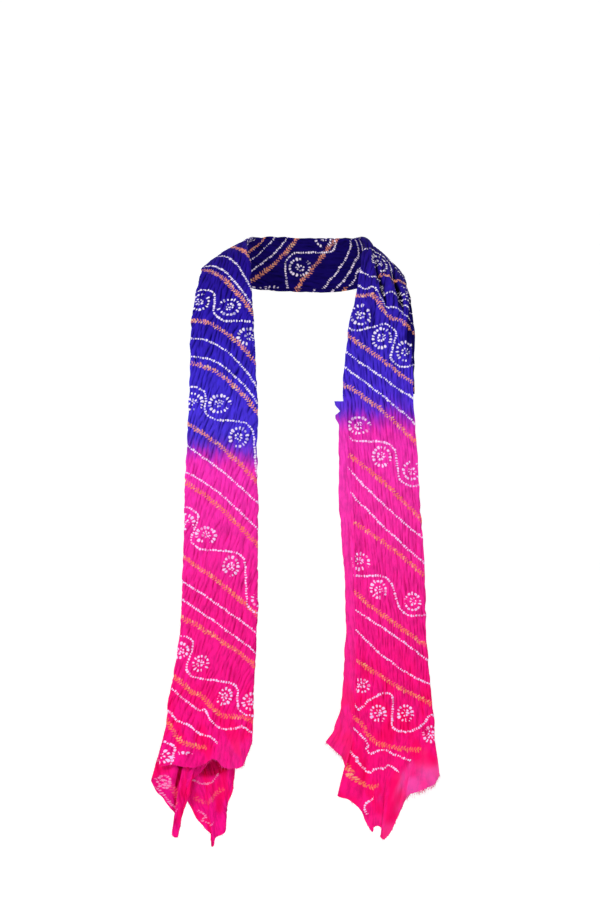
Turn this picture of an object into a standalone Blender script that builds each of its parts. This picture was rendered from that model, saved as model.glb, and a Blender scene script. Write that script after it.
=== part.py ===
"""A crinkled tie-dyed stole worn round the neck: the nape stretch, two falls and their raw ends.

Metres, +Z up. The wearer faces -Y, and left and right are those of someone who stands in front
and looks along +Y, with +X to the right. The origin is on the inner face of the nape stretch,
where the stole rests on the back of the wearer's collar.

The cloth is one length, folded lengthwise in three. Seen across the band from its outer edge to
its neck edge, the middle third is the face. One third is turned in behind it round the outer
edge, and the last third closes the fold round the neck edge.
"""

from collections import namedtuple
from math import cos, pi, radians, sin

import bmesh
import bpy
from mathutils import Vector

WALL = 0.0012  # thickness of the crinkled cloth
LAYER_PITCH = 0.0022  # from one folded layer's mid-surface to the next
SEAM_GAP = 0.0003  # between two nodes where the cloth runs on
EDGE_CLEAR = 0.005  # from a turned-in selvedge to the bend it lies in
BOW = 0.003  # how far the middle of a band stands proud of its edges
SHOULDER_PLEATS = 3  # soft pleats across the right shoulder

NAPE_STEPS = 14  # rows along the nape stretch
FALL_STEPS = 21  # rows down each fall
SHEET_STEPS = 6  # rows down an end, and spans across the edge that it hangs from
END_COLUMNS = 14  # columns across an end
POINTED_END_COLUMNS = 18  # and across one with a pointed hem
MARGIN_COLUMNS, MARGIN_ROWS = 18, 3  # down the margin, and across it
CORNER_COLUMNS = 6  # across the margin's corner
PLEAT_COLUMNS, PLEAT_ROWS = 12, 4  # along the outer layer of the right shoulder, and across it
FACE_STEPS = 12  # columns across the visible layer
UNDER_STEPS = 4  # columns across a turned-in layer
BEND_STEPS = 3  # columns round a lengthwise fold
SEAM_RING = 0.08  # of the way to the next section: a row this near a seam keeps its edge square
DIRECTION_STEP = 0.02  # of the way to the next section, over which the band's direction is taken
PACE_STEP = 0.01  # the same, for how fast the middle line runs
HALVINGS = 30  # when the place at a height is looked for

# The band's middle line from the left end, over the left shoulder, behind the neck and down to
# the right end. width is from edge to edge, rise is how steeply the band slants up towards its
# neck edge, turn is how far it has turned from the nape (0) to the chest (90), and pleat is the
# depth of the pleats across its face.
Section = namedtuple("Section", "place x y z width rise turn pleat")
SECTIONS = (
    Section("left end", -0.1165, -0.1730, -0.563, 0.105, 0, 90, 0),
    Section("left flare", -0.1070, -0.1730, -0.488, 0.096, 0, 90, 0),
    Section("left hip", -0.1040, -0.1730, -0.388, 0.0925, 0, 90, 0),
    Section("left waist", -0.1020, -0.1710, -0.247, 0.087, 0, 90, 0),
    Section("left chest", -0.1006, -0.1650, -0.188, 0.084, 0, 90, 0),
    Section("left collarbone", -0.1025, -0.1470, -0.100, 0.079, 0, 90, 0),
    Section("left slope", -0.1020, -0.1260, -0.055, 0.071, 5, 90, 0),
    Section("left front", -0.1000, -0.0950, -0.016, 0.064, 17, 89, 0),
    Section("left crest", -0.1010, -0.0560, 0.003, 0.066, 33, 84, 0),
    Section("left turn", -0.0790, -0.0160, 0.001, 0.071, 54, 58, 0),
    Section("left back", -0.0400, -0.0010, -0.003, 0.073, 69, 28, 0),
    Section("nape", 0.0000, 0.0010, -0.004, 0.073, 74, 0, 0),
    Section("right back", 0.0400, -0.0010, -0.004, 0.073, 70, 28, 0),
    Section("right turn", 0.0810, -0.0160, -0.001, 0.070, 57, 58, 0.001),
    Section("right crest", 0.1030, -0.0560, 0.000, 0.067, 45, 84, 0.004),
    Section("right front", 0.1035, -0.0950, -0.026, 0.065, 28, 89, 0.005),
    Section("right slope", 0.1010, -0.1250, -0.060, 0.067, 13, 90, 0.005),
    Section("right collarbone", 0.0965, -0.1460, -0.105, 0.080, 3, 90, 0.004),
    Section("right chest", 0.0940, -0.1630, -0.180, 0.087, 0, 90, 0.001),
    Section("right waist", 0.0990, -0.1710, -0.276, 0.088, 0, 90, 0),
    Section("right hip", 0.1050, -0.1730, -0.388, 0.0895, 0, 90, 0),
    Section("right flare", 0.1090, -0.1730, -0.500, 0.091, 0, 90, 0),
    Section("right end", 0.1110, -0.1730, -0.597, 0.105, 0, 90, 0),
)

# Raw hems, each from the outer edge to the neck edge on the left, and from the neck edge to the
# outer edge on the right.
Hem = namedtuple("Hem", "x y z")
END_SWELL = 0.002  # how far the middle of an end stands out from its layer's plane
LEFT_FRONT_HEM = (
    Hem(-0.181, -0.178, -0.647),
    Hem(-0.151, -0.181, -0.646),
    Hem(-0.136, -0.180, -0.648),
    Hem(-0.112, -0.182, -0.638),
    Hem(-0.090, -0.181, -0.648),
    Hem(-0.076, -0.179, -0.644),
    Hem(-0.064, -0.178, -0.616),
)
LEFT_SIDE_HEM = (
    Hem(-0.190, -0.172, -0.668),
    Hem(-0.177, -0.173, -0.690),
    Hem(-0.166, -0.174, -0.706),
    Hem(-0.160, -0.174, -0.736),
    Hem(-0.154, -0.173, -0.732),
    Hem(-0.147, -0.172, -0.702),
    Hem(-0.128, -0.172, -0.674),
    Hem(-0.100, -0.172, -0.656),
    Hem(-0.078, -0.172, -0.640),
)
LEFT_BACK_HEM = (
    Hem(-0.151, -0.164, -0.679),
    Hem(-0.138, -0.163, -0.712),
    Hem(-0.123, -0.163, -0.729),
    Hem(-0.115, -0.162, -0.748),
    Hem(-0.098, -0.164, -0.731),
    Hem(-0.096, -0.164, -0.694),
    Hem(-0.090, -0.165, -0.664),
)
RIGHT_FRONT_HEM = (
    Hem(0.0425, -0.177, -0.684),
    Hem(0.055, -0.179, -0.690),
    Hem(0.071, -0.180, -0.706),
    Hem(0.085, -0.180, -0.732),
    Hem(0.101, -0.181, -0.736),
    Hem(0.114, -0.180, -0.722),
    Hem(0.125, -0.179, -0.690),
    Hem(0.146, -0.180, -0.672),
    Hem(0.171, -0.178, -0.657),
)
RIGHT_CORNER_HEM = (
    Hem(0.029, -0.182, -0.617),
    Hem(0.040, -0.183, -0.632),
    Hem(0.052, -0.184, -0.648),
)
RIGHT_BACK_HEM = (
    Hem(0.056, -0.169, -0.672),
    Hem(0.080, -0.169, -0.690),
    Hem(0.110, -0.169, -0.690),
    Hem(0.140, -0.169, -0.664),
    Hem(0.160, -0.169, -0.652),
)

# The margin beside the right fall: its free edge's x down the fall, against the height.
Margin = namedtuple("Margin", "z free_x")
MARGIN = (
    Margin(-0.196, 0.0400),
    Margin(-0.226, 0.0460),
    Margin(-0.276, 0.0460),
    Margin(-0.388, 0.0475),
    Margin(-0.463, 0.0500),
    Margin(-0.530, 0.0500),
    Margin(-0.5965, 0.0425),
)

# The outer layer on the right shoulder: how far it stands out past the band's outer edge, how far
# back behind the band it starts, and the share of a half wave that its outer edge follows.
PLEAT_STAND = 0.005
PLEAT_BACK = 0.0125
PLEAT_FROM, PLEAT_TO = "right crest", "right chest"
PLEAT_WAVE_FROM, PLEAT_WAVE_TO = 0.1, 0.9

LAYERS = {"face": 1, "inner": 0, "back": -1}  # in layer pitches out from the middle one


def remove_everything():
    for obj in list(bpy.data.objects):
        bpy.data.objects.remove(obj, do_unlink=True)


def cloth_material(name, colour):
    material = bpy.data.materials.new(name)
    material.use_nodes = True
    shader = material.node_tree.nodes["Principled BSDF"]
    shader.inputs["Base Color"].default_value = (*colour, 1)
    shader.inputs["Roughness"].default_value = 0.75
    shader.inputs["Metallic"].default_value = 0
    return material


def smooth_through(points, steps):
    """Points at even steps along a smooth curve through the points."""
    return [smooth_at(points, k * (len(points) - 1) / steps) for k in range(steps + 1)]


def smooth_at(points, at):
    """The point at this fractional index of a Catmull-Rom curve through the points."""
    start = min(int(at), len(points) - 2)
    part = at - start
    before = points[max(start - 1, 0)]
    first, last = points[start], points[start + 1]
    after = points[min(start + 2, len(points) - 1)]
    leaving, arriving = (last - before) / 2, (after - first) / 2
    return (
        first * (2 * part**3 - 3 * part**2 + 1)
        + leaving * (part**3 - 2 * part**2 + part)
        + last * (3 * part**2 - 2 * part**3)
        + arriving * (part**3 - part**2)
    )


def place_index(place):
    return [section.place for section in SECTIONS].index(place)


def section_at(at):
    """The section at this fractional index: its middle, width, pleat, and its two directions."""
    numbers = [Vector(section[1:]) for section in SECTIONS]
    x, y, z, width, rise, turn, pleat = smooth_at(numbers, at)
    ahead = smooth_at(numbers, min(at + DIRECTION_STEP, len(numbers) - 1))
    behind = smooth_at(numbers, max(at - DIRECTION_STEP, 0))
    along = Vector((ahead - behind)[:3]).normalized()
    level = Vector((-sin(radians(turn)), -cos(radians(turn)), 0))
    if x < 0:
        level.x = -level.x
    across = level * cos(radians(rise)) + Vector((0, 0, sin(radians(rise))))
    outward = across.cross(along).normalized()
    return Vector((x, y, z)), width, pleat, across, outward


def bowed(across, width):
    return BOW * (1 - (2 * across / width) ** 2)


def face_across(width):
    """Positions across the visible layer, from the neck fold to the outer fold."""
    start, end = width / 2 - LAYER_PITCH, -width / 2 + LAYER_PITCH / 2
    return [start + (end - start) * k / FACE_STEPS for k in range(FACE_STEPS + 1)]


def pleated(across, width, depth):
    """How far a pleated face stands out here."""
    waves = SHOULDER_PLEATS * (across / width + 0.5)
    return depth * (0.5 - 0.5 * cos(2 * pi * waves))


def folded_outline(width, pleat):
    """(across, out) from one selvedge, round the neck fold, over the face, and round the outer fold
    to the other selvedge."""
    half = width / 2
    tucked = half - EDGE_CLEAR
    back = [(-tucked + (tucked + half - LAYER_PITCH) * k / UNDER_STEPS, -LAYER_PITCH)
            for k in range(UNDER_STEPS)]
    neck_fold = [(half - LAYER_PITCH + LAYER_PITCH * cos(turn), LAYER_PITCH * sin(turn))
                 for turn in (pi * (k / BEND_STEPS - 0.5) for k in range(BEND_STEPS))]
    face = [(across, LAYER_PITCH + pleated(across, width, pleat)) for across in face_across(width)]
    outer_fold = [(-half + LAYER_PITCH / 2 * (1 - sin(turn)), LAYER_PITCH / 2 * (1 + cos(turn)))
                  for turn in (pi * k / BEND_STEPS for k in range(1, BEND_STEPS + 1))]
    inner = [(-half + LAYER_PITCH / 2 + (tucked + half - LAYER_PITCH / 2) * k / UNDER_STEPS, 0)
             for k in range(1, UNDER_STEPS + 1)]
    outline = back + neck_fold + face + outer_fold + inner
    return [(across, out + bowed(across, width)) for across, out in outline]


def cloth_wall(name, material, rows):
    """One node: a grid with a vertex for each point of the rows, thickened into a wall."""
    last_row, last_column = len(rows) - 1, len(rows[0]) - 1
    mesh = bpy.data.meshes.new(name)
    grid = bmesh.new()
    bmesh.ops.create_grid(grid, x_segments=last_column, y_segments=last_row, size=1)
    for vertex in grid.verts:
        column = round((vertex.co.x + 1) / 2 * last_column)
        row = round((vertex.co.y + 1) / 2 * last_row)
        vertex.co = rows[row][column]
    grid.to_mesh(mesh)
    grid.free()
    mesh.shade_smooth()
    mesh.materials.append(material)
    node = bpy.data.objects.new(name, mesh)
    bpy.context.scene.collection.objects.link(node)
    wall = node.modifiers.new("Wall", "SOLIDIFY")
    wall.thickness = WALL
    wall.offset = 0
    return node


def folded_row(at):
    middle, width, pleat, across, outward = section_at(at)
    return [middle + across * a + outward * out for a, out in folded_outline(width, pleat)]


def pace(at, step):
    """How far the middle line runs in one whole index, measured over a short step from here."""
    return (section_at(at + step)[0] - section_at(at)[0]).length / abs(step)


def folded_stretch(name, material, start, end, steps):
    """The band from one named section to another, a seam gap short of both."""
    first, last = place_index(start), place_index(end)
    first += SEAM_GAP / pace(first, PACE_STEP)
    last -= SEAM_GAP / pace(last, -PACE_STEP)
    places = [first + (last - first) * k / steps for k in range(steps + 1)]
    places[1:1] = [first + SEAM_RING]
    places[-1:-1] = [last - SEAM_RING]
    return cloth_wall(name, material, [folded_row(at) for at in places])


def layer_edge(place, layer):
    """Points across one layer of the band where a stretch ends, from its left to its right."""
    middle, width, _, across, outward = section_at(place_index(place))
    out = LAYERS[layer] * LAYER_PITCH
    inset = LAYER_PITCH if layer == "face" else EDGE_CLEAR
    reach = width / 2 - inset
    edge = [middle + across * a + outward * (out + bowed(a, width))
            for a in (reach * (2 * k / SHEET_STEPS - 1) for k in range(SHEET_STEPS + 1))]
    return sorted(edge, key=lambda point: point.x)


def ruled_sheet(name, material, edge, hem, across_steps, down_steps, swell=0.0):
    """A single layer from one edge to another, swelling towards the front between them."""
    top = smooth_through([Vector(point) for point in edge], across_steps)
    bottom = smooth_through([Vector(point) for point in hem], across_steps)
    rows = []
    for k in range(down_steps + 1):
        down = k / down_steps
        forward = Vector((0, -swell * sin(pi * down), 0))
        rows.append([a.lerp(b, down) + forward for a, b in zip(top, bottom)])
    return cloth_wall(name, material, rows)


def margin_rib(margin):
    """The margin's free edge and the edge beside the right fall's neck fold, at one height."""
    middle, width, _, across, outward = section_at(place_at_height(margin.z))
    joined = middle + across * (width / 2 + WALL / 2 + SEAM_GAP) + outward * LAYER_PITCH
    joined.z = margin.z
    return Vector((margin.free_x, joined.y, margin.z)), joined


def margin_beside_fall(name, material):
    """The single-layer margin along the neck edge of the right fall."""
    free, joined = zip(*(margin_rib(margin) for margin in MARGIN))
    return ruled_sheet(name, material, free, joined, MARGIN_COLUMNS, MARGIN_ROWS)


def margin_corner(name, material):
    """The margin's last corner, which stands out from the fall and ends in a raw edge."""
    below = MARGIN[-1]._replace(z=MARGIN[-1].z - SEAM_GAP)
    return ruled_sheet(name, material, margin_rib(below), RIGHT_CORNER_HEM, CORNER_COLUMNS,
                       SHEET_STEPS)


def place_at_height(height):
    """The fractional index at which the right fall's middle line passes this height."""
    low, high = place_index("right crest"), len(SECTIONS) - 1
    for _ in range(HALVINGS):
        middle = (low + high) / 2
        if section_at(middle)[0].z > height:
            low = middle
        else:
            high = middle
    return low


def outer_pleat(name, material):
    """The layer that stands out past the outer edge of the right shoulder, behind the face."""
    first, last = place_index(PLEAT_FROM), place_index(PLEAT_TO)
    near, far = [], []
    for k in range(SHEET_STEPS):
        share = k / (SHEET_STEPS - 1)
        middle, width, _, across, outward = section_at(first + (last - first) * share)
        wave = PLEAT_WAVE_FROM + (PLEAT_WAVE_TO - PLEAT_WAVE_FROM) * share
        stand = PLEAT_STAND * sin(pi * wave)
        near.append(middle - across * (width / 2 - PLEAT_BACK) - outward * 2 * LAYER_PITCH)
        far.append(middle - across * (width / 2 + stand) - outward * LAYER_PITCH)
    return ruled_sheet(name, material, near, far, PLEAT_COLUMNS, PLEAT_ROWS)


def main():
    remove_everything()
    blue = cloth_material("blue_violet_cloth", (0.05, 0.01, 0.62))
    pink = cloth_material("hot_pink_cloth", (0.95, 0.01, 0.27))

    folded_stretch("nape_stretch", blue, "left crest", "right crest", NAPE_STEPS)
    folded_stretch("fall_left", pink, "left end", "left crest", FALL_STEPS)
    folded_stretch("fall_right", pink, "right crest", "right end", FALL_STEPS)
    outer_pleat("pleat_right", blue)
    margin_beside_fall("selvedge_right", pink)
    margin_corner("end_right_corner", pink)

    ruled_sheet("end_left_front", pink, layer_edge("left end", "face"),
                LEFT_FRONT_HEM, END_COLUMNS, SHEET_STEPS, swell=END_SWELL)
    ruled_sheet("end_left_side", pink, layer_edge("left end", "inner"),
                LEFT_SIDE_HEM, POINTED_END_COLUMNS, SHEET_STEPS)
    ruled_sheet("end_left_back", pink, layer_edge("left end", "back"),
                LEFT_BACK_HEM, END_COLUMNS, SHEET_STEPS, swell=-END_SWELL)

    ruled_sheet("end_right_front", pink, layer_edge("right end", "face"),
                RIGHT_FRONT_HEM, POINTED_END_COLUMNS, SHEET_STEPS, swell=END_SWELL)
    ruled_sheet("end_right_back", pink, layer_edge("right end", "back"),
                RIGHT_BACK_HEM, END_COLUMNS, SHEET_STEPS, swell=-END_SWELL)


main()
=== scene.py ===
"""A crinkled tie-dyed stole worn round the neck, with raw frayed ends.

Metres, +Z up, the wearer facing -Y. The cloth has its own two directions: s runs along its length,
0 at the nape, negative down the left fall and positive down the right one, and t runs across it,
0 at the middle of the visible face and positive towards the neck.
"""

from collections import namedtuple
from functools import partial
from math import pi

import bmesh
import bpy
import numpy as np
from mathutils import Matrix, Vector
from mathutils.kdtree import KDTree


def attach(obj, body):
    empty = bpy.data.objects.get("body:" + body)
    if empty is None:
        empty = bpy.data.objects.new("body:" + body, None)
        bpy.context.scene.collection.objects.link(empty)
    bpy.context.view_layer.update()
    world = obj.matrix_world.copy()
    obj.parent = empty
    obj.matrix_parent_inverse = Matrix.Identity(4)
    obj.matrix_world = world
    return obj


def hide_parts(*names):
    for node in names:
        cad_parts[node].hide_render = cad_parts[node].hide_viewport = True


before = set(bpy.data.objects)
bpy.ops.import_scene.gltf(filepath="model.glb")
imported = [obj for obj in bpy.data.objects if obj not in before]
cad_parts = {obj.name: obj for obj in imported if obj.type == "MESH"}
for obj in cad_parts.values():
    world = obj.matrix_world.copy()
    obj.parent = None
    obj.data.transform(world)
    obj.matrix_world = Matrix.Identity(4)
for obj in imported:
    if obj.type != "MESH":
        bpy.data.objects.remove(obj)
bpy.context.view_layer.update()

# ---------------------------------------------------------------------------------------------
# The folded band: one length of thin silk-like cloth, folded lengthwise in three and laid round the
# neck. It was tied in dots with thread, dyed blue-violet in the middle and hot pink towards both
# ends, and left crinkled. The nape stretch and the two falls are parts of the same length.
# ---------------------------------------------------------------------------------------------
LAYER_PITCH = 0.0022  # from one folded layer to the next
EDGE_CLEAR = 0.005  # from a turned-in selvedge to the bend it lies in
BOW = 0.003  # how far the middle of the band stands proud of its edges
CLOTH = 0.0004  # thickness of the cloth itself

# The band's middle line, from the left end over the left shoulder, behind the neck and down: each
# section's place, x, y, z, width from edge to edge, how steeply it slants up towards its neck edge,
# and how far it has turned from the nape (0) to the chest (90), both in degrees.
BAND = (
    ("left end", -0.1165, -0.173, -0.563, 0.105, 0, 90),
    ("left flare", -0.107, -0.173, -0.488, 0.096, 0, 90),
    ("left hip", -0.104, -0.173, -0.388, 0.0925, 0, 90),
    ("left waist", -0.102, -0.171, -0.247, 0.087, 0, 90),
    ("left chest", -0.1006, -0.165, -0.188, 0.084, 0, 90),
    ("left collarbone", -0.1025, -0.147, -0.1, 0.079, 0, 90),
    ("left slope", -0.102, -0.126, -0.055, 0.071, 5, 90),
    ("left front", -0.1, -0.095, -0.016, 0.064, 17, 89),
    ("left crest", -0.101, -0.056, 0.003, 0.066, 33, 84),
    ("left turn", -0.079, -0.016, 0.001, 0.071, 54, 58),
    ("left back", -0.04, -0.001, -0.003, 0.073, 69, 28),
    ("nape", 0, 0.001, -0.004, 0.073, 74, 0),
    ("right back", 0.04, -0.001, -0.004, 0.073, 70, 28),
    ("right turn", 0.081, -0.016, -0.001, 0.07, 57, 58),
    ("right crest", 0.103, -0.056, 0, 0.067, 45, 84),
    ("right front", 0.1035, -0.095, -0.026, 0.065, 28, 89),
    ("right slope", 0.101, -0.125, -0.06, 0.067, 13, 90),
    ("right collarbone", 0.0965, -0.146, -0.105, 0.08, 3, 90),
    ("right chest", 0.094, -0.163, -0.18, 0.087, 0, 90),
    ("right waist", 0.099, -0.171, -0.276, 0.088, 0, 90),
    ("right hip", 0.105, -0.173, -0.388, 0.0895, 0, 90),
    ("right flare", 0.109, -0.173, -0.5, 0.091, 0, 90),
    ("right end", 0.111, -0.173, -0.597, 0.105, 0, 90),
)
PLACES = [place for place, *_ in BAND]


def eased(v, first, leaving, last, arriving):
    """The smooth curve between two places, at v from 0 to 1, that leaves and arrives in given ways."""
    return (first * (2 * v**3 - 3 * v**2 + 1) + leaving * (v**3 - 2 * v**2 + v)
            + last * (3 * v**2 - 2 * v**3) + arriving * (v**3 - v**2))


def smooth_at(table, at):
    """Rows of a table at fractional indices, on a Catmull-Rom curve through the table's own rows."""
    start = np.clip(np.floor(at).astype(int), 0, len(table) - 2)
    before, first, last, after = (table[np.clip(start + k, 0, len(table) - 1)] for k in (-1, 0, 1, 2))
    return eased((at - start)[:, None], first, (last - before) / 2, last, (after - first) / 2)


def along_curve(points, steps):
    """Points at even table steps along a smooth curve through the points."""
    table = np.array(points, float)
    return smooth_at(table, np.linspace(0, len(table) - 1, steps + 1))


def run_along(points):
    """How far each row of points is along the path through the rows."""
    steps = np.linalg.norm(np.diff(points, axis=0), axis=-1)
    return np.concatenate([0 * steps[:1], np.cumsum(steps, axis=0)])


def unit(ways):
    return ways / np.maximum(np.linalg.norm(ways, axis=-1, keepdims=True), 1e-12)


band_table = np.array([numbers for _, *numbers in BAND])
band_index = np.linspace(0, len(BAND) - 1, 6001)
band_run = run_along(smooth_at(band_table, band_index)[:, :3])
band_run -= np.interp(PLACES.index("nape"), band_index, band_run)
DIRECTION_STEP = 0.02  # of the way to the next section, over which the band's direction is taken


def run_at(place):
    """How far along the cloth a named section lies."""
    return float(np.interp(PLACES.index(place), band_index, band_run))


def band_frames(s):
    """The band's middle, width, direction towards the neck and direction out, at each s."""
    at = np.interp(s, band_run, band_index)
    x, y, z, width, rise, turn = smooth_at(band_table, at).T
    ahead = smooth_at(band_table, np.minimum(at + DIRECTION_STEP, len(BAND) - 1))
    along = unit((ahead - smooth_at(band_table, np.maximum(at - DIRECTION_STEP, 0)))[:, :3])
    rise, turn = np.radians(rise), np.radians(turn)
    inwards = np.where(x < 0, 1, -1) * np.sin(turn)
    across = np.stack([inwards * np.cos(rise), -np.cos(turn) * np.cos(rise), np.sin(rise)], axis=1)
    return np.stack([x, y, z], axis=1), width, across, unit(np.cross(across, along))


def on_band(frames, across, out):
    """Points this far across and out from the band's middle line."""
    middle, _, across_way, out_way = frames
    return middle[:, None] + across_way[:, None] * across[:, :, None] + out_way[:, None] * out[:, :, None]


def raised(points, normals, lift):
    return points + normals * lift[:, :, None]


def softened(share):
    return share * share * (3 - 2 * share)


def soft_noise(x, y, seed):
    """Smooth noise from -1 to 1, with one random value at each whole x and y."""
    size = 97
    values = np.random.default_rng(seed).uniform(-1, 1, (size, size))
    left, low = np.floor(x).astype(int), np.floor(y).astype(int)
    over, up = softened(x - left), softened(y - low)
    lower, upper = (values[left % size, row % size] * (1 - over)
                    + values[(left + 1) % size, row % size] * over for row in (low, low + 1))
    return lower * (1 - up) + upper * up


FACE_COLUMNS, BACK_COLUMNS, INNER_COLUMNS, BEND_COLUMNS = 112, 46, 12, 7
EDGE_WOBBLE = 0.0014  # the band's edges wander by this much


def folded_outline(width):
    """(across, out, t) over the folded band at each width: the inner layer, the outer fold, the
    face, the neck fold and the back layer, in the order of t."""
    half = width[:, None] / 2
    neck, outer, tucked = half - LAYER_PITCH, half - LAYER_PITCH / 2, half - EDGE_CLEAR
    small = LAYER_PITCH / 2

    share = np.linspace(0, 1, INNER_COLUMNS, endpoint=False)
    across = tucked - (tucked + outer) * share
    inner = across, 0 * across, -outer - small * pi - (across + outer)

    turned = pi * (1 - np.linspace(0, 1, BEND_COLUMNS, endpoint=False)) + 0 * half
    outer_fold = -outer - small * np.sin(turned), small * (1 + np.cos(turned)), -outer - small * turned

    share = np.linspace(0, 1, FACE_COLUMNS, endpoint=False)
    across = -outer + (outer + neck) * share
    face = across, LAYER_PITCH + 0 * across, across

    turned = pi * np.linspace(0, 1, BEND_COLUMNS, endpoint=False) + 0 * half
    neck_fold = (neck + LAYER_PITCH * np.sin(turned), LAYER_PITCH * np.cos(turned),
                 neck + LAYER_PITCH * turned)

    share = np.linspace(0, 1, BACK_COLUMNS + 1)
    across = neck - (neck + tucked) * share
    back = across, -LAYER_PITCH + 0 * across, neck + LAYER_PITCH * pi + (neck - across)

    across, out, t = (np.hstack(parts) for parts in zip(inner, outer_fold, face, neck_fold, back))
    return across, out + BOW * (1 - (across / half) ** 2), t


# Soft ridges (height above 0) and troughs (below 0), in millimetres along and across the cloth.
# lean is how far the line moves across for each millimetre along.
Crease = namedtuple("Crease", "s t length width height lean")


def creases(*rows):
    return [Crease(*row) for row in rows]


FOLDS = creases(
    # the right shoulder, gathered into folds where the band turns over
    (168, 24, 90, 5, 3, 0.05), (178, 14, 70, 3, -3.6, -0.05), (196, 15, 110, 6, 3.6, -0.18),
    (206, 3, 88, 3.2, -7.5, -0.28), (206, -7, 90, 5.5, 4.4, -0.22), (204, -20, 110, 4.6, -9.5, -0.26),
    (226, -30, 110, 4.2, 3.4, -0.2), (250, -36, 130, 2.4, -4.6, -0.03), (236, 22, 90, 5, 2, -0.1),
    (258, 10, 110, 4.5, -2.2, -0.08), (300, -8, 120, 7, 1.7, -0.04), (318, 20, 120, 5, -1.5, 0.03),
    (345, -26, 130, 6, -1.6, -0.02),
    # the left shoulder
    (-150, 12, 70, 6, 1.5, -0.1), (-170, -8, 80, 5, -1.3, 0.1), (-196, 22, 90, 4, -1.6, -0.1),
    (-215, -20, 90, 6, 1.2, 0.1), (-250, 6, 90, 6, -1.1, 0.12),
    # down the left fall
    (-305, -24, 120, 6, -1, 0.14), (-330, 18, 120, 8, 1.1, 0.14), (-405, -6, 140, 7, -1.2, 0.16),
    (-440, 30, 110, 6, 1.3, 0.12), (-470, -30, 120, 7, 1.2, 0.12), (-520, 8, 130, 6, -1.3, 0.14),
    (-560, 34, 120, 6, -1.2, 0.1), (-585, -20, 110, 8, 1.2, 0.12), (-640, 12, 130, 8, 1.3, 0.1),
    (-665, -34, 110, 6, -1.4, 0.08), (-705, 28, 110, 7, -1.2, 0.06),
    # down the right fall, where a long soft fold follows the margin
    (420, 34, 190, 5, -2, 0), (430, 22, 170, 7, 1.5, 0), (465, -16, 150, 8, 1.2, -0.03),
    (520, -34, 140, 6, -1.4, -0.03), (560, 32, 190, 5, -2.1, 0.01), (575, 16, 150, 7, 1.5, 0),
    (610, -10, 140, 7, -1.2, -0.02), (655, -30, 130, 7, 1.4, -0.02), (690, 34, 160, 6, -2, 0.02),
    (700, 12, 120, 8, 1.5, 0.03), (745, -22, 110, 7, -1.4, 0),
    # the nape, pressed by the collar
    (-60, 14, 110, 5, -1.4, 0.05), (-20, -12, 120, 6, 1.3, -0.06), (35, 12, 120, 6, -1.4, 0.05),
    (90, -10, 110, 6, 1.6, 0.08), (120, 20, 90, 5, -2.2, 0),
)
# The same on the layer behind, which is seen from the wearer's side.
BACK_FOLDS = creases(
    (-620, 92, 170, 7, 1.4, 0.08), (-520, 72, 160, 6, -1.2, -0.05), (-430, 104, 170, 7, 1.3, 0.06),
    (-330, 80, 150, 6, -1.2, -0.06), (-230, 96, 130, 6, 1.2, 0.05), (-40, 78, 130, 6, 1.2, 0.05),
    (70, 96, 120, 6, -1.2, -0.05), (250, 84, 140, 6, 1.3, 0.05), (350, 100, 160, 7, -1.3, -0.05),
    (450, 76, 160, 6, 1.3, 0.04), (560, 98, 170, 7, -1.4, 0.05), (670, 80, 160, 6, 1.4, -0.04),
)


def creased(s, t, creases):
    """How far these soft creases lift the cloth."""
    lift = np.zeros_like(s)
    for crease in creases:
        along = (s * 1000 - crease.s) / (crease.length / 2)
        over = (t * 1000 - crease.t - crease.lean * (s * 1000 - crease.s)) / crease.width
        fade = np.where(abs(along) < 1, np.cos(np.clip(along, -1, 1) * pi / 2) ** 2, 0)
        lift += crease.height / 1000 * fade * np.exp(-(over**2))
    return lift


# The crinkle that the tied dots leave: short creases in staggered rows, with puffs between them.
PUFF_WIDTH, PUFF_LENGTH = 0.0058, 0.0145
PUFF_SWELL = 0.0009  # how much more some puffs stand out than others
PUCKER_DEPTH = 0.0022
PUCKER_LEVEL = 0.4  # how much of that depth the puffs rise by, so that the cloth keeps its place
PUCKER_REPEAT = 83  # creases, after which the pattern comes round again
FINER_FROM, FINER_OVER, FINER_BY = 0.26, 0.1, 0.4  # the creases are finer down the right fall


def puckered(s, t, lean):
    """How deep each point lies in the nearest short crease, 0 on a puff and 1 in a crease."""
    jitter = np.random.default_rng(11).uniform(-0.5, 0.5, (5, PUCKER_REPEAT, PUCKER_REPEAT))
    finer = 1 + FINER_BY * np.clip((s - FINER_FROM) / FINER_OVER, 0, 1)
    u = (t - lean * s) * finer / PUFF_WIDTH + 0.5 * soft_noise(t / 0.011, s / 0.030, 3)
    v = s / PUFF_LENGTH
    column, deepest = np.floor(u).astype(int), np.zeros_like(s)
    for side in (-1, 0, 1, 2):
        stagger = 0.5 * ((column + side) % 2)
        row = np.floor(v + stagger).astype(int)
        for end in (-1, 0, 1):
            cell = (column + side) % PUCKER_REPEAT, (row + end) % PUCKER_REPEAT
            offset, shift, size, depth, tilt = (table[cell] for table in jitter)
            dv = v + stagger - (row + end + 0.5 + 0.8 * shift)
            du = u - (column + side + 0.55 * offset) - 0.5 * tilt * dv
            reach = 0.72 + 0.55 * size
            fade = np.clip(1 - (dv / reach) ** 2, 0, 1)
            crease_depth_and_shade = np.exp(-((abs(du) / (0.15 + 0.07 * size)) ** 1.4)) * fade * (0.72 + 0.56 * depth)
            deepest = np.maximum(deepest, crease_depth_and_shade)
    return deepest


def surface_normals(points):
    """Unit normals of a grid of points, out of the side from which s runs up and t runs right."""
    return unit(np.cross(np.gradient(points, axis=1), np.gradient(points, axis=0)))


def crinkle(s, t, lean):
    """How far the crinkle lifts each point, and how deep in a crease it lies, which is also painted into
    the colour as shade.
    """
    crease_depth_and_shade = puckered(s, t, lean)
    swell = PUFF_SWELL * soft_noise(t / 0.009, s / 0.026, 5)
    return swell + PUCKER_DEPTH * (PUCKER_LEVEL - crease_depth_and_shade), crease_depth_and_shade


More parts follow.
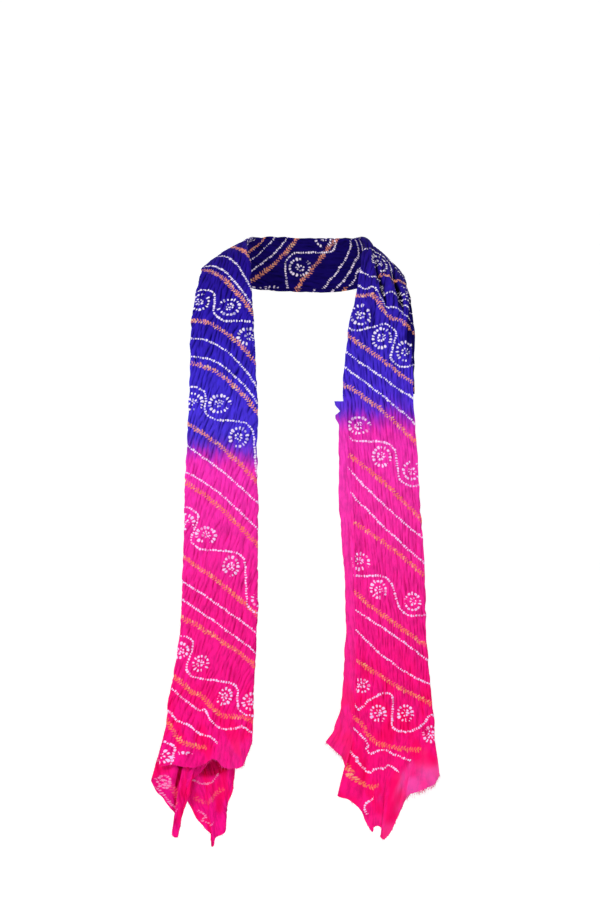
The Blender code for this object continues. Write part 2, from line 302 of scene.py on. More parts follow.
# Where the rows of tied dots cross the cloth: s in millimetres on the line t = -40, 0 and +40 mm.
# Each run of rows is an orange one, two or three white ones and an orange one, and a vine follows it.
# The folds of the right shoulder pull the last of its run out of line, so that is one of those below.
RUNS = (
    ((-639, -661, -689), (-617, -644, -673), (-594, -620, -649), (-564, -592, -625)),
    ((-469, -499, -538), (-456, -482, -519), (-423, -452, -487), (-396, -423, -461)),
    ((-317, -334, -376), (-308, -321, -363), (-285, -297, -342), (-260, -274, -314)),
    ((-156, -200, -254), (-140, -186, -245), (-105, -152, -228), (-78, -112, -186)),
    ((-7, -37, -67), (13, -17, -47), (35, 5, -25), (50, 20, -10)),
    ((122, 92, 50), (138, 108, 80), (154, 124, 96), (166, 136, 108), None),
    ((336, 306, 278), (355, 328, 300), (385, 350, 320), (409, 370, 341)),
    ((504, 463, 429), (528, 492, 449), (558, 521, 478), (574, 541, 513)),
    ((663, 635, 603), (681, 651, 623), (711, 687, 650), (735, 713, 687)),
)
# The rows that the folds pull out of line, on the right shoulder and at both ends, each as its dye
# and its (t, s) places in millimetres.
PULLED_ROWS = (
    ("orange", ((-50, 168), (-25, 176), (-12, 183), (-3, 186), (8, 187))),
    ("white", ((-150, 280), (-38, 232), (-24, 221), (-15, 213), (-2, 216), (2, 206), (7, 198), (14, 196),
     (26, 196), (60, 167), (150, 91))),
    ("white", ((-150, 296), (-38, 248), (-26, 239), (-16, 236), (-5, 236), (3, 226), (8, 218), (16, 213),
     (28, 216), (60, 187), (150, 111))),
    ("orange", ((-150, 310), (-42, 264), (-31, 256), (-13, 251), (-2, 243), (7, 231), (15, 224),
     (24, 226), (34, 226), (60, 204), (150, 128))),
    ("white", ((-32, 112), (-34, 125), (-37, 150), (-38, 175), (-36, 192))),
    ("orange", ((-150, -670), (-60, -706), (-43, -714), (-28, -726), (-15, -731), (0, -745), (13, -758),
     (29, -760), (51, -765), (100, -806))),
    ("white", ((-150, -676), (-70, -714), (-48, -726), (-31, -739), (-14, -751), (-6, -752), (2, -766),
     (13, -774), (29, -774), (41, -772), (58, -786))),
    ("white", ((-150, -706), (-70, -744), (-50, -754), (-41, -764), (-27, -770), (-14, -780), (-4, -783),
     (8, -794))),
    ("orange", ((-150, -716), (-70, -754), (-53, -764), (-39, -785), (-24, -795), (-8, -797))),
    ("white", ((101, -835), (106, -842), (114, -845), (130, -846), (135, -843), (139, -841))),
    ("orange", ((94, -852), (98, -854), (108, -864), (116, -869), (132, -869), (138, -865))),
    ("white", ((135, -881), (130, -887), (133, -893), (118, -899), (110, -895))),
    ("white", ((-59, -839), (-63, -834), (-67, -837), (-68, -844), (-66, -850), (-62, -848),
     (-59, -841))),
    ("white", ((-62, -840), (-65, -840), (-65, -845), (-62, -845))),
    ("white", ((-60, -851), (-65, -858), (-70, -867), (-78, -878))),
    ("orange", ((-70, -848), (-74, -858), (-82, -870))),
    ("orange", ((-35, 797), (-14, 795), (-1, 793), (19, 787), (34, 774), (44, 760), (150, 671))),
    ("white", ((-31, 812), (-14, 806), (-1, 801), (5, 797), (15, 797), (27, 801), (32, 796), (41, 777),
     (150, 684))),
    ("white", ((-10, 823), (2, 816), (10, 820), (21, 820), (29, 824), (41, 812), (52, 797), (150, 714))),
    ("orange", ((17, 841), (27, 842), (36, 839), (45, 829), (54, 814), (150, 732))),
    ("white", ((24, 857), (30, 862), (33, 868), (31, 875))),
    ("white", ((-104, 826), (-84, 826), (-70, 795), (-64, 772), (-50, 754), (-37, 767), (-28, 772),
     (-17, 774), (-5, 773), (0, 767), (0, 755), (-1, 740), (0, 730), (8, 725), (21, 730), (30, 736),
     (37, 743), (46, 741), (60, 698), (78, 662), (98, 665), (118, 666), (150, 622))),
)

# The whorls of dots, by bands from the left end to the right one: the way that the vine passes the
# first of them, and each centre as (s, t) in millimetres. 1 is beyond the whorl, -1 is short of it,
# and at 0 the folds pull the vine out of line too, so that it is one of the rows above.
WHORLS = (
    (-1, ((-792, -86), (-809, -53), (-812, -31))),
    (-1, ((-652, -86), (-676, -46), (-693, -19), (-734, 17), (-741, 50), (-776, 92))),
    (-1, ((-480, -86), (-516, -46), (-532, -19), (-571, 13), (-612, 52), (-646, 92))),
    (-1, ((-332, -78), (-366, -39), (-369, -5), (-410, 20), (-450, 62), (-484, 102))),
    (-1, ((-196, -66), (-233, -29), (-242, 8), (-282, 33), (-316, 73), (-350, 113))),
    (1, ((-12, -84), (-46, -42), (-76, -2), (-106, 38), (-154, 78), (-188, 118))),
    (-1, ((122, -82), (88, -42), (58, -2), (30, 38), (-4, 78), (-38, 118))),
    (-1, ((230, -70), (196, -34), (167, 11), (140, 50), (106, 90))),
    (-1, ((328, -68), (297, -33), (281, -2), (252, 26), (214, 66), (180, 106))),
    (-1, ((480, -74), (448, -37), (431, 1), (392, 26), (356, 68), (322, 108))),
    (-1, ((646, -68), (611, -29), (597, 13), (562, 35), (526, 76), (492, 116))),
    (0, ((812, -88), (777, -48), (751, -16), (751, 18), (716, 38), (682, 78), (648, 118))),
    (1, ((832, 76), (798, 116))),
)
# Each whorl's outer radius, by how far it lies from the nape: the cloth is drawn up at the ends.
WHORL_SIZES = ((150, 13.2), (400, 12.0), (560, 11.0), (720, 9.8))
VINE_CLEARANCE = 7.4  # from a whorl's outer ring to the vine that rounds it
VINE_TURNS = (-0.52, 0, 0.52)  # in radians: where it is held to that, on its way round

# How the dots lie along each kind of row, in millimetres: from one dot to the next, and how far a
# dot reaches across the row.
Dots = namedtuple("Dots", "pitch reach")
WHITE_DOTS = Dots(2.9, 2.8)
VINE_DOTS = Dots(3.3, 2.8)
RING_DOTS = Dots(4.5, 4.1)
HEART_DOTS = Dots(3.6, 3.1)
ORANGE_DOTS = Dots(3.4, 6.6)
SAMPLE = 1.0  # a row is followed in steps of this many millimetres


def followed(points, dots, seed):
    """A row of dots as (s, t, direction, place along in dots, dots) at each step of a smooth curve."""
    curve = along_curve(points, 24 * (len(points) - 1))
    run = run_along(curve)
    steps = np.arange(0, run[-1], SAMPLE)
    places = np.stack([np.interp(steps, run, curve[:, k]) for k in (0, 1)], axis=1)
    count = seed * 37.0 + steps / dots.pitch
    return np.column_stack([places, unit(np.gradient(places, axis=0)), count,
                            np.full((len(steps), 2), dots)])


GIVEN_AT = 40  # a row is given on the lines this far on either side of the middle
FACE_REACH = 48  # it bends as far as here, and goes on straight over the turned-in layers
TURNED_SLOPE = -0.85


def diagonal_points(outer, middle, neck):
    """A diagonal row across the whole cloth."""
    t = np.linspace(-150, 150, 61)
    bend = (outer + neck - 2 * middle) / 2
    inside = np.clip(t, -FACE_REACH, FACE_REACH)
    slope = (neck - outer) / (2 * GIVEN_AT)
    s = middle + slope * inside + bend * (inside / GIVEN_AT) ** 2 + TURNED_SLOPE * (t - inside)
    return np.column_stack([s, t])


def unsteady(points, number):
    """The same row with the small bends of hand tying."""
    row = np.full(len(points), number * 3.7)
    return points + np.column_stack([1.1 * soft_noise(points[:, 1] / 8, row, 21), 0 * row])


def whorl_points(centre, number, start, end, outer, inner):
    """Part of a whorl, from one turn to another as it winds in from an outer to an inner radius."""
    share = np.linspace(0, 1, 24)
    radius = outer + (inner - outer) * share + 0.5 * np.sin(share * 9 + number)
    angle = (start + (end - start) * share + number * 0.37) * 2 * pi
    stretch = 1.0 + 0.1 * np.sin(number * 1.9)
    return np.column_stack([centre[0] + stretch * radius * np.sin(angle),
                            centre[1] + radius * np.cos(angle) / stretch])


def whorl_size(centre):
    return np.interp(abs(centre[0]), *zip(*WHORL_SIZES))


def vine_points(over, centres):
    """The vine that winds between a band's whorls, past one side of each in turn."""
    ahead = unit(np.gradient(centres, axis=0))
    middles = (centres[1:] + centres[:-1]) / 2
    points = []
    for number, (centre, (along_s, along_t)) in enumerate(zip(centres, ahead)):
        aside = over * (1 if number % 2 == 0 else -1) * np.array((along_t, -along_s))
        reach = whorl_size(centre) + VINE_CLEARANCE
        for turn in VINE_TURNS:
            points.append(centre + reach * (np.cos(turn) * aside + np.sin(turn) * ahead[number]))
        points += list(middles[number:number + 1])
    return points


lines = []
for first, *whites, last in RUNS:
    run = [("orange", first), *(("white", row) for row in whites), ("orange", last)]
    lines += [(colour, diagonal_points(*row)) for colour, row in run if row]
for colour, places in PULLED_ROWS:
    lines.append((colour, along_curve([(s, t) for t, s in places], 60)))
tied_rows = {"white_rows": [], "whorl_rows": [], "orange_rows": []}
for number, (colour, points) in enumerate(lines):
    dots = ORANGE_DOTS if colour == "orange" else WHITE_DOTS
    tied_rows[colour + "_rows"].append(followed(unsteady(points, number), dots, number))
for number, (over, centres) in enumerate(WHORLS):
    centres = np.array(centres, float)
    if over:
        tied_rows["white_rows"].append(followed(vine_points(over, centres), VINE_DOTS, number))
    for centre in centres:
        luck = abs(centre[0]) % 50
        size = whorl_size(centre)
        ring = whorl_points(centre, luck, 0, 0.88, size, size - 1.8)
        heart = whorl_points(centre, luck, 1.1, 2.3, size * 0.42, 2.0)
        tied_rows["whorl_rows"] += [followed(ring, RING_DOTS, luck + 100),
                                    followed(heart, HEART_DOTS, luck + 200)]
TIED = {name: np.concatenate(rows) for name, rows in tied_rows.items()}
NO_ROW = 9.0  # so far across a row that no dot reaches it


def nearest_finder(table):
    """A search tree over the places in a table of rows."""
    tree = KDTree(len(table))
    for number, (s, t) in enumerate(table[:, :2]):
        tree.insert((s, t, 0), number)
    tree.balance()
    return tree


FINDERS = {name: nearest_finder(table) for name, table in TIED.items()}


def rows_on_faces(name, corners):
    """Each corner's place in the row of dots nearest to its face: along it, and across it."""
    nearest = [FINDERS[name].find((s, t, 0))[1] for s, t in corners.mean(axis=1)]
    near = TIED[name][nearest][:, None]
    away = corners - near[:, :, :2]
    ahead = (away * near[:, :, 2:4]).sum(axis=2)
    aside = away[:, :, 1] * near[:, :, 2] - away[:, :, 0] * near[:, :, 3]
    along, across = near[:, :, 4] + ahead / near[:, :, 5], aside / near[:, :, 6]
    past_the_end = abs(ahead.mean(axis=1)) > 1.5 * SAMPLE
    across[past_the_end | (abs(across).min(axis=1) > 2)] = NO_ROW
    return np.stack([along, across], axis=2)


def feed(made, inputs):
    """Set or join up a node's inputs, by number or by name."""
    for socket, value in dict(inputs).items():
        if isinstance(value, bpy.types.NodeSocket):
            made.id_data.links.new(value, made.inputs[socket])
        else:
            made.inputs[socket].default_value = value
    return made


def node(tree, kind, inputs=(), **settings):
    made = tree.nodes.new("ShaderNode" + kind)
    for setting, value in settings.items():
        setattr(made, setting, value)
    return feed(made, inputs)


def maths(operation, *values):
    """A sum of numbers, one of which at least comes from a shader."""
    tree = next(value.id_data for value in values if isinstance(value, bpy.types.NodeSocket))
    return node(tree, "Math", enumerate(values), operation=operation).outputs[0]


add, subtract, multiply, multiply_add, divide, power, absolute = (
    partial(maths, operation) for operation in
    ("ADD", "SUBTRACT", "MULTIPLY", "MULTIPLY_ADD", "DIVIDE", "POWER", "ABSOLUTE"))


def ramped(value, start, end, low=0.0, high=1.0, easing="SMOOTHSTEP"):
    """The value eased from low to high between start and end."""
    numbers = {"Value": value, "From Min": start, "From Max": end, "To Min": low, "To Max": high}
    return node(value.id_data, "MapRange", numbers, interpolation_type=easing).outputs[0]


def mixed(share, first, second, blend="MIX"):
    return node(share.id_data, "Mix", {0: share, 6: first, 7: second}, data_type="RGBA",
                blend_type=blend).outputs[2]


def darkened(colour, shade):
    return node(colour.id_data, "VectorMath", {0: colour, "Scale": shade}, operation="SCALE").outputs[0]


def dye(red, green, blue):
    """A dye's colour from 0 to 255 in each of red, green and blue, as light."""
    parts = np.array([red, green, blue]) / 255
    light = np.where(parts <= 0.04045, parts / 12.92, ((parts + 0.055) / 1.055) ** 2.4)
    return (*light.tolist(), 1)


def effect(name, inputs, outputs):
    """A node group, with its input and output nodes. Each socket is given as its name and type."""
    group = bpy.data.node_groups.new(name, "ShaderNodeTree")
    for sockets, way in ((inputs, "INPUT"), (outputs, "OUTPUT")):
        for socket, kind in sockets:
            group.interface.new_socket(socket, in_out=way, socket_type="NodeSocket" + kind)
    return group, group.nodes.new("NodeGroupInput"), group.nodes.new("NodeGroupOutput")


def cloth_map(tree, name="cloth"):
    return node(tree, "UVMap", uv_map=name).outputs[0]


def grain(tree, along, across, detail, **more):
    """A noise with this many spots in each metre along and across the cloth."""
    scale = {0: cloth_map(tree), 1: (along, across, 1)}
    place = node(tree, "VectorMath", scale, operation="MULTIPLY").outputs[0]
    inputs = {"Vector": place, "Scale": 1, "Detail": detail, **more}
    return node(tree, "TexNoise", inputs).outputs[0]


# The dye along the cloth, from the left end to the right one, as (s, red, green, blue). It is
# darkest towards the nape, partly as the deeper dye there and partly as painted shade.
DYED = (
    (-0.900, 250, 18, 138), (-0.760, 249, 20, 132), (-0.620, 247, 30, 142), (-0.500, 246, 46, 168),
    (-0.446, 244, 50, 180), (-0.434, 200, 46, 188), (-0.422, 104, 50, 200), (-0.408, 74, 52, 214),
    (-0.340, 60, 42, 200), (-0.270, 46, 28, 172), (-0.170, 33, 14, 132), (-0.080, 22, 9, 100),
    (0.080, 18, 8, 92), (0.160, 28, 12, 112), (0.230, 48, 30, 166), (0.300, 62, 42, 194),
    (0.354, 76, 46, 210), (0.373, 104, 46, 208), (0.385, 184, 44, 188), (0.400, 240, 50, 178),
    (0.480, 247, 50, 168), (0.600, 247, 34, 146), (0.700, 248, 22, 130), (0.800, 249, 16, 120),
    (0.900, 248, 20, 124),
)
DYED_REACH = 0.95  # the dye is given from this far on the left to this far on the right
WICKING, DRIFT = 0.034, 0.018  # how far it bleeds along the cloth, finely and broadly
SLANT = 0.13  # how far its edge on the left fall slants, for each metre across

# Deep is 1 in the blue-violet and 0 in the pink, where the painted shade in the creases is less dark.
dyeing, _, dyed = effect("Resist dye", (), (("Color", "Color"), ("Deep", "Float")))
along, across, _ = node(dyeing, "SeparateXYZ", {0: cloth_map(dyeing)}).outputs
bled = multiply_add(grain(dyeing, 26, 190, 3, Roughness=0.6), WICKING, along)
bled = multiply_add(grain(dyeing, 8, 30, 1), DRIFT, bled)
on_the_left = maths("LESS_THAN", along, 0.0)
bled = add(bled, multiply(across, multiply(on_the_left, SLANT)))
share = multiply_add(bled, 0.5 / DYED_REACH, 0.5 - (WICKING + DRIFT) / 2 * 0.5 / DYED_REACH)
ramp = node(dyeing, "ValToRGB", {0: share})
stops = ramp.color_ramp.elements
while len(stops) < len(DYED):
    stops.new(0.5)
for stop, (s, *colour) in zip(stops, DYED):
    stop.position = (s / DYED_REACH + 1) / 2
    stop.color = dye(*colour)
depth = ramped(grain(dyeing, 60, 200, 4, Roughness=0.65), 0.3, 0.7, 0.80, 1.14)
from_nape = absolute(add(bled, -0.006))
reddened = multiply(ramped(grain(dyeing, 24, 48, 2), 0.45, 0.62, 0, 0.75), ramped(from_nape, 0.66, 0.78))
feed(dyed, {"Color": mixed(reddened, darkened(ramp.outputs[0], depth), dye(252, 6, 96)),
            "Deep": ramped(from_nape, 0.37, 0.44, 1, 0)})

# A row of tied dots: Length is the share of the pitch that a dot takes, Slant leans the dots back
# on both sides of the row, Parting leaves the middle of the row undotted, Stagger shifts one side
# against the other, and Scatter moves each dot off the row. Luck is each dot's own number.
tying, given, tied = effect(
    "Tied dots",
    (("Place", "Vector"), ("Length", "Float"), ("Slant", "Float"), ("Parting", "Float"),
     ("Stagger", "Float"), ("Scatter", "Float")),
    (("Mask", "Float"), ("Luck", "Float")),
)
place, length, slant, parting, stagger, scatter, _ = given.outputs
DOT_CORNERS = 2.6  # 2 for round dots, and more for squarer ones
along, across, _ = node(tying, "SeparateXYZ", {0: place}).outputs
side = multiply(maths("GREATER_THAN", across, 0.0), stagger)
along = add(multiply_add(absolute(across), slant, along), side)
along = multiply_add(grain(tying, 900, 900, 2), 0.25, along)
number = multiply_add(side, 57.3, maths("FLOOR", along))
lucks = [node(tying, "TexWhiteNoise", {"W": add(number, shift)}, noise_dimensions="1D").outputs[0]
         for shift in (0.13, 0.29, 0.47, 0.68, 0.81)]
centre = multiply_add(lucks[3], 0.30, 0.35)
phase = absolute(subtract(maths("FRACT", along), centre))
aside = absolute(add(across, multiply(subtract(lucks[4], 0.5), scatter)))
half = multiply(length, ramped(lucks[0], 0, 1, 0.32, 0.66))
reach = ramped(lucks[1], 0, 1, 0.32, 0.56)
lengthways, widthways = (power(divide(*sides), DOT_CORNERS) for sides in ((phase, half), (aside, reach)))
mask = ramped(power(add(lengthways, widthways), 1 / DOT_CORNERS), 1.25, 0.75)
mask = multiply(mask, ramped(lucks[2], 0.02, 0.3, 0.45, 1))
mask = multiply(mask, ramped(subtract(absolute(across), parting), -0.05, 0.03))
feed(tied, {"Mask": mask, "Luck": lucks[2]})

# The fine relief: threads across and along, and the small wrinkles inside each puff.
wrinkling, _, wrinkled = effect("Crinkled silk", (), (("Height", "Float"),))
wrinkle = grain(wrinkling, 90, 620, 3, Roughness=0.55, Distortion=0.4)
feed(wrinkled, {"Height": multiply_add(grain(wrinkling, 2600, 2600, 1), 0.12, wrinkle)})

WHITE_DYE = dye(250, 238, 255)
LILAC_DYE = dye(255, 60, 250)
ORANGE_DYE = dye(252, 124, 84)
PALE_ORANGE_DYE = dye(255, 196, 148)
# Painted light: a lighter colour added where one layer by itself lets light through.
LIGHT_THROUGH_ONE_LAYER = dye(0, 69, 124)  # what one layer by itself lets through, added to its own colour
DOTS_SHOWN = {
    "orange_rows": {"Length": 0.66, "Slant": 0.75, "Parting": 0.02, "Stagger": 0.5, "Scatter": 0.05},
    "white_rows": {"Length": 0.74, "Slant": 0.2, "Parting": -1.0, "Stagger": 0.0, "Scatter": 0.36},
    "whorl_rows": {"Length": 0.56, "Slant": 0.1, "Parting": -1.0, "Stagger": 0.0, "Scatter": 0.18},
}


def new_material(name):
    """A material, with the tree and the shader in it."""
    material = bpy.data.materials.new(name)
    material.use_nodes = True
    return material, material.node_tree, material.node_tree.nodes["Principled BSDF"]


def dyed_cloth(name, showing=1.0):
    """The dyed silk, with its dots showing in full or, on its wrong side, less so. Shade in its
    creases, folds and hollows, and light through a single layer, are painted into its colour.
    """
    material, tree, shader = new_material(name)
    colour, deep = node(tree, "Group", node_tree=dyeing).outputs
    # Painted shade from the creases, the folds and the hollows, and painted light where a single layer
    # lets light through.
    crease_depth_and_shade, hollow_shade, light_through = (node(tree, "Attribute", attribute_name=attribute).outputs["Fac"]
                           for attribute in ("crease_depth_and_shade", "hollow_shade", "light_through"))
    facing = node(tree, "SeparateXYZ", {0: node(tree, "NewGeometry").outputs["Normal"]}).outputs[1]
    # The shade of the hollows is painted only on the side that faces forward.
    crease_depth_and_shade = maths("MAXIMUM", crease_depth_and_shade, multiply(hollow_shade, ramped(facing, -0.3, 0.3, 1, 0)))
    # Painted light: a single layer is lighter, for the light that it lets through.
    colour = mixed(light_through, colour, LIGHT_THROUGH_ONE_LAYER, blend="ADD")
    # Painted shade: the colour darkens in the creases and folds, more in the blue-violet and still more
    # in the deepest hollows, and deep shade is painted redder and more saturated.
    darkest = multiply_add(deep, -0.46, 0.80)
    shadow = ramped(crease_depth_and_shade, 0.04, 0.8, 1.04, darkest, easing="LINEAR")
    colour = darkened(colour, multiply(shadow, ramped(crease_depth_and_shade, 0.9, 1.5, 1, 0.65)))
    shade_richness = multiply_add(multiply(crease_depth_and_shade, crease_depth_and_shade), 0.4, 1.0)
    colour = node(tree, "Gamma", {0: colour, 1: shade_richness}).outputs[0]
    undyed = mixed(multiply_add(deep, -0.20, 0.30), WHITE_DYE, mixed(deep, LILAC_DYE, colour))
    for map_name, dots in DOTS_SHOWN.items():
        row = {"Place": cloth_map(tree, map_name), **dots}
        mask, luck = node(tree, "Group", row, node_tree=tying).outputs
        mask = multiply(mask, showing)
        dots_dye = undyed
        if map_name == "orange_rows":
            mask = multiply(mask, multiply_add(deep, -0.04, 0.86))
            pale = multiply_add(deep, 0.40, ramped(luck, 0.78, 0.9, 0, 0.6))
            dots_dye = mixed(pale, ORANGE_DYE, PALE_ORANGE_DYE)
        colour = mixed(mask, colour, dots_dye)
    height = node(tree, "Group", node_tree=wrinkling).outputs["Height"]
    relief = node(tree, "Bump", {"Strength": 0.6, "Distance": 0.0008, "Height": height})
    feed(shader, {"Base Color": colour, "Normal": relief.outputs[0],
                  "Roughness": ramped(height, 0.3, 0.8, 0.62, 0.80), "Specular IOR Level": 0.02,
                  "Sheen Weight": 0.02, "Sheen Roughness": 0.4, "Sheen Tint": dye(255, 190, 235)})
    return material


BLUE_CLOTH = dyed_cloth("blue_violet_crinkled_silk")
PINK_CLOTH = dyed_cloth("hot_pink_crinkled_silk")


def placed(name, data):
    """A new object in the scene."""
    made = bpy.data.objects.new(name, data)
    bpy.context.scene.collection.objects.link(made)
    return made


BARE_ABOVE = 0.5  # a face has no dots where the cloth is barer than this


def cloth_piece(solid, material, points, s, t, crease_depth_and_shade, bare=None, light_through=None, hollow_shade=None):
    """The cloth in place of one solid: a grid of points with its cloth coordinates and its rows of
    dots. It has no dots where it is bare, is painted lighter from 0 to 1 where a single layer lets
    light through, has painted shade in its creases and folds, and has painted shade on its front
    in the hollows under another layer."""
    last_row, last_column = s.shape[0] - 1, s.shape[1] - 1
    grid = bmesh.new()
    bmesh.ops.create_grid(grid, x_segments=last_column, y_segments=last_row, size=1)
    for edge in grid.edges:
        edge.smooth = not edge.is_boundary
    mesh = bpy.data.meshes.new(solid + "_cloth")
    grid.to_mesh(mesh)
    grid.free()
    mesh.shade_smooth()
    laid = np.empty(len(mesh.vertices) * 3)
    mesh.vertices.foreach_get("co", laid)
    column = np.rint((laid[0::3] + 1) / 2 * last_column).astype(int)
    row = np.rint((laid[1::3] + 1) / 2 * last_row).astype(int)
    mesh.vertices.foreach_set("co", points[row, column].ravel())
    corner = np.empty(len(mesh.loops), int)
    mesh.loops.foreach_get("vertex_index", corner)
    places = np.stack([s, t], axis=2)[row, column][corner]
    mesh.uv_layers.new(name="cloth").data.foreach_set("uv", places.ravel())
    bare, light_through, hollow_shade = (
        np.zeros_like(s) if values is None else values for values in (bare, light_through, hollow_shade))
    plain = bare[row, column][corner].reshape(-1, 4).mean(axis=1) > BARE_ABOVE
    for rows in TIED:
        found = rows_on_faces(rows, places.reshape(-1, 4, 2) * 1000)
        found[plain, :, 1] = NO_ROW
        mesh.uv_layers.new(name=rows).data.foreach_set("uv", found.ravel())
    for attribute, values in (("crease_depth_and_shade", crease_depth_and_shade), ("light_through", light_through), ("hollow_shade", hollow_shade)):
        data = mesh.attributes.new(attribute, "FLOAT", "POINT").data
        data.foreach_set("value", values[row, column].astype(np.float32))
    mesh.materials.append(material)
    piece = placed(solid + "_cloth", mesh)
    wall = piece.modifiers.new("Cloth", "SOLIDIFY")
    wall.thickness = CLOTH
    wall.offset = 0
    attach(piece, "root")
    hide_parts(solid)
    return piece


ROW_STEP = 0.0025  # from one row of the mesh to the next along the cloth
LEAN_LEFT, LEAN_RIGHT = 0.30, -0.04  # how far the crinkle moves across in each metre along
cut_at = [run_at(place) for place in ("left end", "left crest", "right crest", "right end")]
row_counts = [round((end - start) / ROW_STEP) for start, end in zip(cut_at, cut_at[1:])]
cut_rows = np.concatenate([[0], np.cumsum(row_counts)])
band_s = np.interp(np.arange(cut_rows[-1] + 1), cut_rows, cut_at)

frames = band_frames(band_s)
width = frames[1] + EDGE_WOBBLE * soft_noise(band_s / 0.010, 0 * band_s, 8)
band_a, band_out, band_t = folded_outline(width)
band_s = band_s[:, None] + 0 * band_t
half_width = width[:, None] / 2
behind = band_t > half_width + 2 * LAYER_PITCH
tucked_in = np.clip((-half_width - band_t) / 0.004, 0, 1)
# The crinkle is a little shallower behind, and nearly flat on the layer inside the fold.
band_depth = np.where(behind, 0.7, 1 - 0.85 * tucked_in)
band_lean = LEAN_RIGHT + (LEAN_LEFT - LEAN_RIGHT) * np.clip(0.5 - band_s / 0.3, 0, 1)
band_fold = creased(band_s, band_a, FOLDS)
band_out = band_out + band_fold - np.where(behind, creased(band_s, band_t, BACK_FOLDS), 0)
band_base = on_band(frames, band_a, band_out)
band_normals = surface_normals(band_base)
band_lift, band_crease_depth_and_shade = crinkle(band_s, band_t, band_lean)
band_points = raised(band_base, band_normals, band_depth * band_lift)
# Painted shade: the deep folds are darkened as in their own shade, and so is the layer that slips out on
# the right shoulder.
sunk_fold_shade = np.clip(np.where(behind, 0.5 * band_fold, -band_fold) / 0.003 - 0.2, 0, 1.4)
slipped_layer_shade = np.clip((-band_a - 0.0315) / 0.003, 0, 1)
slipped_layer_shade *= np.interp(band_s, (0.12, 0.15, 0.27, 0.32), (0, 1, 1, 0)) * ~behind
band_crease_depth_and_shade = np.maximum(band_crease_depth_and_shade * band_depth, np.maximum(sunk_fold_shade, slipped_layer_shade))

for number, (name, material) in enumerate(
        (("fall_left", PINK_CLOTH), ("nape_stretch", BLUE_CLOTH), ("fall_right", PINK_CLOTH))):
    rows = slice(cut_rows[number], cut_rows[number + 1] + 1)
    stretch = cloth_piece(name, material, band_points[rows], band_s[rows], band_t[rows],
                          band_crease_depth_and_shade[rows])

# ---------------------------------------------------------------------------------------------
# The left end: below the chest the three folded layers come apart. The front one hangs to a short
# plain raw hem, the middle one is bunched into a narrow tail at the outer edge, and the back one
# turns its wrong side forward and hangs lowest.
# ---------------------------------------------------------------------------------------------
END_STEP = 0.0022  # from one row of an end's mesh to the next
# The columns of the band that each layer hangs on from.
LAYER_COLUMNS = {
    "inner": slice(0, INNER_COLUMNS + 1),
    "face": slice(INNER_COLUMNS + 4, INNER_COLUMNS + BEND_COLUMNS + FACE_COLUMNS + 4),
    "back": slice(-BACK_COLUMNS - 1, None),
}


def refined(values, columns):
    """Values along one row of the band at another number of evenly spaced columns."""
    old, new = np.linspace(0, 1, len(values)), np.linspace(0, 1, columns)
    if values.ndim == 1:
        return np.interp(new, old, values)
    return np.stack([np.interp(new, old, column) for column in values.T], axis=1)


def hung(top, bottom, swell=0.0):
    """Rows of points from a top edge that hangs straight down to a bottom one, and how far each
    point is down its own column."""
    reach = bottom - top
    length = np.linalg.norm(reach, axis=1)[:, None]
    v = np.linspace(0, 1, round(length.max() / END_STEP) + 1)[:, None, None]
    points = eased(v, top, np.array((0, 0, -1)) * length, bottom, reach)
    points[:, :, 1] -= swell * np.sin(pi * v[:, :, 0])
    return points, run_along(points)


def beyond(s, t, line, softness):
    """From 0 to 1 where the cloth passes a line of (t, s) places, in millimetres."""
    limit = np.interp(t * 1000, *zip(*line)) / 1000
    return np.clip((abs(s) - abs(limit)) / softness + 0.5, 0, 1)


def shade_of_layer_in_front(points, hollows):
    """How deep each point of a layer is in the painted shade of another one. Each of the hollows is
    its middle, from there to one end, half of its width, and its shade."""
    deepest = np.zeros(points.shape[:2])
    for middle_x, middle_z, to_x, to_z, half_width, shade in hollows:
        x, z = points[:, :, 0] - middle_x, points[:, :, 2] - middle_z
        reach = np.hypot(to_x, to_z)
        along = (x * to_x + z * to_z) / reach**2
        over = (x * to_z - z * to_x) / (reach * half_width)
        deepest = np.maximum(deepest, shade * np.clip((1.2 - np.hypot(along, over)) / 0.4, 0, 1))
    return deepest


THREAD = 0.00042  # thickness of one loose thread
strand_dye, tree, shader = new_material("loose_pink_thread")
place = node(tree, "TexCoord").outputs["Object"]
patch = node(tree, "TexNoise", {"Vector": place, "Scale": 160, "Detail": 2}).outputs[0]
feed(shader, {"Base Color": mixed(patch, dye(230, 24, 120), dye(246, 70, 160)), "Roughness": 0.6,
              "Specular IOR Level": 0.2})


def frayed(name, points, rows, frays, seed):
    """Loose threads along a raw edge: the first of these rows of points, away from the second. Each
    fray is its part of the edge, from 0 to 1, how many threads it has, and their lengths."""
    edge = points[rows[0]]
    down = unit(edge - points[rows[1]])
    luck = np.random.default_rng(seed)
    strands = bpy.data.curves.new(name, "CURVE")
    strands.dimensions = "3D"
    strands.bevel_depth = THREAD / 2
    strands.bevel_resolution = 0
    for start, end, count, shortest, longest in frays:
        for at in luck.uniform(start, end, count) * (len(edge) - 1):
            root, way = (smooth_at(values, np.array([at]))[0] for values in (edge, down))
            length = luck.uniform(shortest, longest)
            lean, curl = luck.normal(0, 0.35, 3), luck.normal(0, 0.30, 3)
            strand = strands.splines.new("POLY")
            strand.points.add(4)
            for k, point in enumerate(strand.points):
                share = k / 4
                off = (way + lean * share * 0.6 + curl * share**2) * length * share
                point.co = (*(root - way * 0.001 + off), 1)
                point.radius = 1 - 0.5 * share
    strands.materials.append(strand_dye)
    piece = placed(name, strands)
    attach(piece, "root")
    return piece


LEAVING = 0.03  # over this length a layer leaves the shape of the fold for its own


